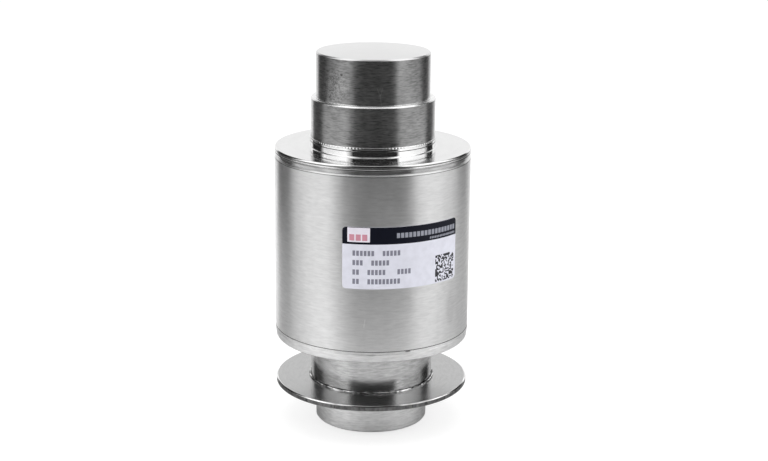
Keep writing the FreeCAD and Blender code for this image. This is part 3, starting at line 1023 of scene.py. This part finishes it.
weld_steel = steel("weld_steel", 0.85, 0.12, 0.0, 0.1, 0.0)
gland_steel = steel("gland_steel", 0.74, 0.22, 0.3, 0.04, 0.0)
gap_shade = plain("gap_shade", (0.012, 0.012, 0.012), 0.8)


def zone(low=-math.inf, high=math.inf, inner=0.0, outer=math.inf):
    """Chooses what lies between two heights and two radii."""
    return lambda radius, height: low < height < high and inner < radius < outer


def line_zone(middle, width, inner=0.0, outer=math.inf):
    """Chooses what lies on a fine line round the axis."""
    return zone(middle - width / 2, middle + width / 2, inner, outer)


margin = 0.02
edge_reach = disc_edge + SOFT_EDGE
plate_edge_radius = housing_radius - plate_edge_width - SOFT_EDGE
line_floor = housing_radius - 0.1 * line_depth
on_crown = zone(column_height - rim_drop - spigot_edge_height)
on_ledge = zone(upper_shoulder - neck_edge, upper_shoulder + SOFT_EDGE, spigot_radius)
on_lower_neck = zone(disc_top - SOFT_EDGE, tube_bottom)
on_stub = zone(high=disc_top - SOFT_EDGE)
in_land = zone(plate_bottom, land_top + SOFT_EDGE, neck_radius)
in_seam = line_zone(plate_top + seam_above_plate, seam_width - 2 * margin, neck_radius)
on_contact_weld = zone(plate_top + margin)
on_plate_edge = zone(plate_top - plate_edge_height, inner=plate_edge_radius)
on_plate_side = zone(high=plate_top - plate_edge_height, inner=housing_radius - SOFT_EDGE)
on_rim_bead = line_zone(plate_bottom - rim_bead_drop, rim_bead_height, housing_radius - rim_bead_depth)
in_head_groove = zone(tube_top, tube_top + head_groove_height, register_radius + 0.5)
in_tube_line = line_zone(tube_top - tube_line_below_top, line_width, outer=line_floor)
in_joint_line = line_zone(tube_bottom, 2 * joint_line, housing_radius - joint_line)
on_bead = zone(disc_top + 0.05, outer=bead_inner + bead_width + 0.2)
on_disc_edge = zone(disc_top - edge_reach, inner=disc_radius - edge_reach)
on_disc_side = zone(high=disc_top - disc_edge, inner=disc_radius - 0.5 * disc_edge)

# Column, head, housing and base disc
column = place("column_body", turned(column_outline(), False, on_flats), spigot_steel,
               "turned_steel", "column")
paint(column, (crown_steel, on_crown), (ledge_steel, on_ledge), (neck_steel, on_lower_neck),
      (stub_steel, on_stub), (land_steel, in_land), (gap_shade, in_seam))
place("collar_bead", turned(collar_bead_outline(), True, beaded, FINE_SEGMENTS), weld_steel,
      "polished_steel")
plate = place("top_plate_body", turned(plate_outline()), plate_steel, "polished_steel", "top_plate")
paint(plate, (weld_steel, on_plate_edge), (weld_steel, on_contact_weld), (rim_steel, on_plate_side))
head = place("top_ring_body", turned(head_outline()), rim_steel, "satin_steel", "top_ring")
paint(head, (weld_steel, on_rim_bead), (groove_steel, in_head_groove))
tube = place("tube_body", turned(tube_outline(), True, nicked), tube_steel,
             "brushed_steel", "housing_tube")
# Painted shade in the tube's fine line and in its joint with the cover
paint(tube, (line_shade_steel, in_tube_line), (gap_shade, in_joint_line))
cut_outlet_hole(tube)
cover = place("cover_body", turned(cover_outline()), satin_steel, "satin_steel", "bottom_cover")
paint(cover, (gap_shade, in_joint_line))
disc = place("disc_body", turned(disc_outline(), True, uneven_bead, FINE_SEGMENTS), disc_steel,
             "satin_steel", "base_disc")
paint(disc, (bead_steel, on_bead), (disc_edge_steel, on_disc_edge), (disc_side_steel, on_disc_side))

# Label
film = plain("label_film", (0.73, 0.735, 0.82), 0.4)
label = place("label_film", label_mesh(label_fields()), film, "label_film", "label")
for name, color in (("header", (0.003, 0.004, 0.011)), ("badge", (0.80, 0.76, 0.84)),
                    ("mark", (0.60, 0.27, 0.34)), ("light", (0.30, 0.31, 0.36)),
                    ("print", (0.22, 0.22, 0.27)), ("code", (0.035, 0.035, 0.04))):
    label.data.materials.append(plain("label_" + name, color, 0.4, specular=0.2))

# Pieces inside, which keep their solids
inner_finishes = {
    "board": plain("solder_mask", (0.015, 0.11, 0.045), 0.35),
    "fixing_steel": plain("plated_steel", TIN, 0.28, 1.0),
    "chip": plain("chip_body", (0.03, 0.03, 0.032), 0.45),
    "feedthrough_glass": plain("sealing_glass", (0.02, 0.07, 0.06), 0.08),
    "pin_metal": plain("gold_plate", GOLD, 0.2, 1.0),
    "gauge_film": foil_film("gauge_foil", 0.6),
    "terminal_strip": foil_film("terminal_foil", 2.4),
    "resistor_foil": foil_film("resistor_foil_grid", 0.4),
    "wire_red": plain("red_insulation", (0.45, 0.02, 0.015), 0.4),
    "wire_black": plain("black_insulation", (0.02, 0.02, 0.02), 0.4),
    "wire_green": plain("green_insulation", (0.02, 0.22, 0.05), 0.4),
    "wire_white": plain("white_insulation", (0.75, 0.75, 0.72), 0.4),
}
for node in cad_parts.values():
    for held in node.material_slots:
        held.material = inner_finishes.get(held.material.name, held.material)

# Cable outlet
rubber = plain("black_rubber", (0.02, 0.02, 0.02), 0.6)
seal = ring_outline(thread_radius, seal_high.x, seal_low.y, seal_high.y)
sleeve = ring_outline(grommet_bore_radius, grommet_outer_radius, grommet_low.y, grommet_high.y)
washer = ring_outline(washer_bore_radius, clamp_high.x, clamp_low.y, clamp_high.y)
place("boss_body", to_outlet(turned(boss_outline())), satin_steel, "satin_steel", "cable_boss")
place("boss_weld", weld_mesh(), satin_steel, "satin_steel")
for name, form, material, slot, node in (
    ("gland_seal_ring", turned(seal), rubber, "black_rubber", "gland_seal"),
    ("gland_body_threaded", turned(gland_outline(), reshape=hexed(gland_hex)), gland_steel,
     "gland_steel", "gland_body"),
    ("gland_cap_nut", turned(nut_outline(), reshape=hexed(nut_hex)), gland_steel,
     "gland_steel", "gland_nut"),
    ("gland_grommet_sleeve", turned(sleeve), rubber, "black_rubber", "gland_grommet"),
    ("gland_washer", turned(washer), gland_steel, "gland_steel", "gland_clamp_ring"),
):
    place(name, to_outlet(form), material, slot, node)


# The floor as it is mirrored, with its tone by azimuth in degrees from -Y towards +X. These tones are
# painted light and shade: the mirrored floor is lit unevenly round the object, darker far out towards
# the camera and lightest behind, where it also glows
FLOOR_NEAR = -125.0
FLOOR_FAR = -168.0
FLOOR_NEAR_LEVEL = 0.75
FLOOR_FAR_LEVEL = 0.33
FLOOR_TONES = (
    (-180, 1.0), (-141, 0.95), (-125, 0.46), (-106, 0.42), (-96, 0.52), (-78, 0.67), (-60, 0.84),
    (-48, 0.93), (-36, 0.82), (-20, 0.74), (30, 0.73), (57, 0.72), (81, 0.64), (99, 0.50),
    (147, 0.46), (163, 0.95), (180, 1.0),
)
REAR_GLOW = 0.3
REAR_START = math.radians(138)
REAR_END = math.radians(160)

# The floor as the camera sees it, and the even light round the object
FLOOR_SEEN = 0.34
FLOOR_GLOW = 0.72
FLOOR_REACH = 6.0
SKY_LEVEL = 0.78
SOFTBOX = 1.48
LAMP_AIM = Vector((0, 0, 0.1))

# Heights, distances and tones of the cards. The cards glow as painted light and shade that only
# reflections see: the bright panels stand for the softboxes, the dark cards for the dark room round
# them
FRONT_STEP = 0.045
PANEL_STEP = 0.13
FRONT_TOP = 0.95
PANEL_TOP = 1.5
CARD_TOP = 0.6
SHADE_LOW = 0.05
SHADE_TOP = 0.21
FRONT_REACH = 0.30
STRIP_REACH = 0.34
SHADE_REACH = 0.48
PANEL_REACH = 0.50
FRONT_FADES = (0.14, 0.06)
NO_FADE = 0.001
CARD_STEPS = 16
DARKEST = 0.02
DARK = 0.09
SHADE = 0.05
STRIP = 0.92
PANEL = 1.05
PANEL_BRIGHT = 1.35

# Camera, in millimetres and degrees
CAMERA_PLACE = Vector((4.63, -623.4, 246.7))
CAMERA_PITCH = 15.18
CAMERA_ROLL = 0.53
CAMERA_LENS = 77.16


def round_the_object(azimuth, distance, height):
    """A place at a distance from the axis, by azimuth in degrees."""
    angle = math.radians(azimuth)
    return (distance * math.sin(angle), -distance * math.cos(angle), height)


def card_material(name, level, fade_start, fade_end):
    """A plain card that glows at its level, as painted light and shade for reflections, and thins out
    to nothing over a share of its width at each end.
    """
    nodes = Nodes(bpy.data.materials.new(name))
    across = nodes.add("SeparateXYZ")
    nodes.feed(across.inputs[0], nodes.add("TexCoord").outputs["UV"])
    opaque = nodes.math(
        "MINIMUM",
        nodes.ramp(across.outputs[0], 0.0, fade_start, 0.0, 1.0),
        nodes.ramp(across.outputs[0], 1.0 - fade_end, 1.0, 1.0, 0.0),
    )
    nodes.shade(Base_Color=(0, 0, 0, 1), Specular_IOR_Level=0.0, Alpha=opaque,
                Emission_Color=(1, 1, 1, 1), Emission_Strength=level)
    return nodes.owner


def card(name, start, end, distance, low, high, level, fade_start=NO_FADE, fade_end=NO_FADE):
    """An upright card, seen only in reflections, between two azimuths in degrees."""
    row_length = CARD_STEPS + 1
    foot = [round_the_object(start + (end - start) * step / CARD_STEPS, distance, low)
            for step in range(row_length)]
    verts = foot + [(x, y, high) for x, y, _ in foot]
    faces = [(i, i + 1, i + 1 + row_length, i + row_length) for i in range(CARD_STEPS)]
    data = bpy.data.meshes.new(name)
    data.from_pydata(verts, [], faces)
    unwrapped = data.uv_layers.new(name="across")
    for loop in data.loops:
        row, column = divmod(loop.vertex_index, row_length)
        unwrapped.data[loop.index].uv = (column / CARD_STEPS, row)
    data.materials.append(card_material(name, level, fade_start, fade_end))
    piece = added(name, data)
    for ray in ("camera", "diffuse", "shadow", "transmission"):
        setattr(piece, "visible_" + ray, False)


def card_pair(name, start, end, distance, top, level, top_level, fades=(NO_FADE, NO_FADE)):
    """Two cards, one above the other, of two tones."""
    card(name, start, end, distance, 0.0, PANEL_STEP, level, *fades)
    card(name + "_top", start, end, distance, PANEL_STEP, top, top_level, *fades)


def softbox(name, where, width, height):
    """A soft lamp that looks at the middle of the object."""
    light = bpy.data.lights.new(name, "AREA")
    light.shape = "RECTANGLE"
    light.size = width
    light.size_y = height
    light.energy = SOFTBOX * math.pi * width * height
    lamp = added(name, light)
    lamp.location = where
    lamp.rotation_euler = (LAMP_AIM - Vector(where)).to_track_quat("-Z", "Y").to_euler()
    lamp.visible_camera = False
    lamp.visible_glossy = False


def make_floor():
    """Pale floor, which the camera sees as white. Mirrored, it carries painted light and shade, toned
    like the cards round it, with a painted glow behind.
    """
    nodes = Nodes(bpy.data.materials.new("floor"))
    x, y = nodes.place()[1:3]
    path = nodes.add("LightPath")
    azimuth = nodes.arc(x, y, 1.0)
    tones = nodes.add("ValToRGB")
    stops = tones.color_ramp.elements
    while len(stops) < len(FLOOR_TONES):
        stops.new(1.0)
    for stop, (degrees, level) in zip(stops, FLOOR_TONES):
        stop.position = 0.5 + degrees / 360
        stop.color = (level, level, level, 1)
    nodes.feed(tones.inputs[0], nodes.math("MULTIPLY_ADD", azimuth, 0.5 / math.pi, 0.5))
    # Painted light and shade for mirrored rays: darker far out towards the camera, and a glow behind
    depth = nodes.ramp(y, FLOOR_FAR, FLOOR_NEAR, FLOOR_FAR_LEVEL, FLOOR_NEAR_LEVEL)
    behind = nodes.ramp(nodes.math("ABSOLUTE", azimuth), REAR_START, REAR_END, 0.0, REAR_GLOW)
    mirrored = nodes.times(path.outputs["Is Glossy Ray"], behind)
    seen = nodes.add("Mix")
    nodes.feed(seen.inputs[0], path.outputs["Is Camera Ray"])
    nodes.feed(seen.inputs[2], nodes.times(tones.outputs[0], depth))
    nodes.feed(seen.inputs[3], FLOOR_SEEN)
    glow = nodes.math("MULTIPLY_ADD", path.outputs["Is Camera Ray"], FLOOR_GLOW, mirrored)
    nodes.shade(Base_Color=nodes.combine(*[seen.outputs[0]] * 3), Roughness=0.9,
                Specular_IOR_Level=0.0, Emission_Color=(1, 1, 1, 1), Emission_Strength=glow)
    data = bpy.data.meshes.new("floor")
    corners = ((-1, -1), (1, -1), (1, 1), (-1, 1))
    data.from_pydata([(x * FLOOR_REACH, y * FLOOR_REACH, 0) for x, y in corners], [], [(0, 1, 2, 3)])
    data.materials.append(nodes.owner)
    floor = added("floor", data)


def make_world():
    """An even light, which is white where it is seen, mirrored or looked through."""
    world = bpy.data.worlds.new("studio")
    nodes = Nodes(world, "Background")
    path = nodes.add("LightPath")
    seen = nodes.math("MAXIMUM", path.outputs["Is Camera Ray"], path.outputs["Is Glossy Ray"])
    clear = nodes.math("MAXIMUM", seen, path.outputs["Is Transmission Ray"])
    nodes.shade(Color=(1, 1, 1, 1), Strength=nodes.ramp(clear, 0.0, 1.0, SKY_LEVEL, 1.0))
    bpy.context.scene.world = world


def make_camera():
    camera = bpy.data.cameras.new("camera")
    camera.sensor_width = 36.0
    camera.lens = CAMERA_LENS
    camera.clip_start = 0.01
    upright = Matrix.Rotation(math.radians(90 - CAMERA_PITCH), 4, "X")
    aim = upright @ Matrix.Rotation(math.radians(CAMERA_ROLL), 4, "Z")
    holder = added("camera", camera)
    holder.matrix_world = Matrix.Translation(CAMERA_PLACE * MM) @ aim
    bpy.context.scene.camera = holder


make_floor()
make_world()
make_camera()
card("front_card", -49, 49, FRONT_REACH, FRONT_STEP, PANEL_STEP, DARK, *FRONT_FADES)
card("front_card_top", -48, 49, FRONT_REACH, PANEL_STEP, FRONT_TOP, DARKEST, *FRONT_FADES)
card("front_card_foot", -30, 47, FRONT_REACH, 0.0, FRONT_STEP, DARK, *FRONT_FADES)
card("left_strip", -62, -32, STRIP_REACH, 0.0, FRONT_STEP, STRIP, 0.35, 0.1)
card_pair("left_panel", -110, -25, PANEL_REACH, PANEL_TOP, PANEL, PANEL_BRIGHT)
card_pair("right_panel", 35, 118, PANEL_REACH, PANEL_TOP, PANEL, PANEL_BRIGHT)
card("left_shade", -116, -44, SHADE_REACH, SHADE_LOW, SHADE_TOP, SHADE, fade_end=0.8)
card("right_shade", 56, 118, SHADE_REACH, SHADE_LOW, SHADE_TOP, SHADE, fade_start=1.0)
card_pair("left_rear_card", -142, -96, 0.30, CARD_TOP, DARK, DARKEST, (0.12, 0.22))
card_pair("right_rear_card", 106, 142, 0.45, CARD_TOP, DARK, DARKEST, (0.34, 0.15))
softbox("left_softbox", round_the_object(-70, 1.0, 0.6), 1.3, 1.2)
softbox("right_softbox", round_the_object(76, 1.0, 0.6), 1.2, 1.2)
softbox("top_softbox", (0, -0.2, 1.4), 1.2, 1.2)

bpy.context.scene.view_settings.view_transform = "Standard"
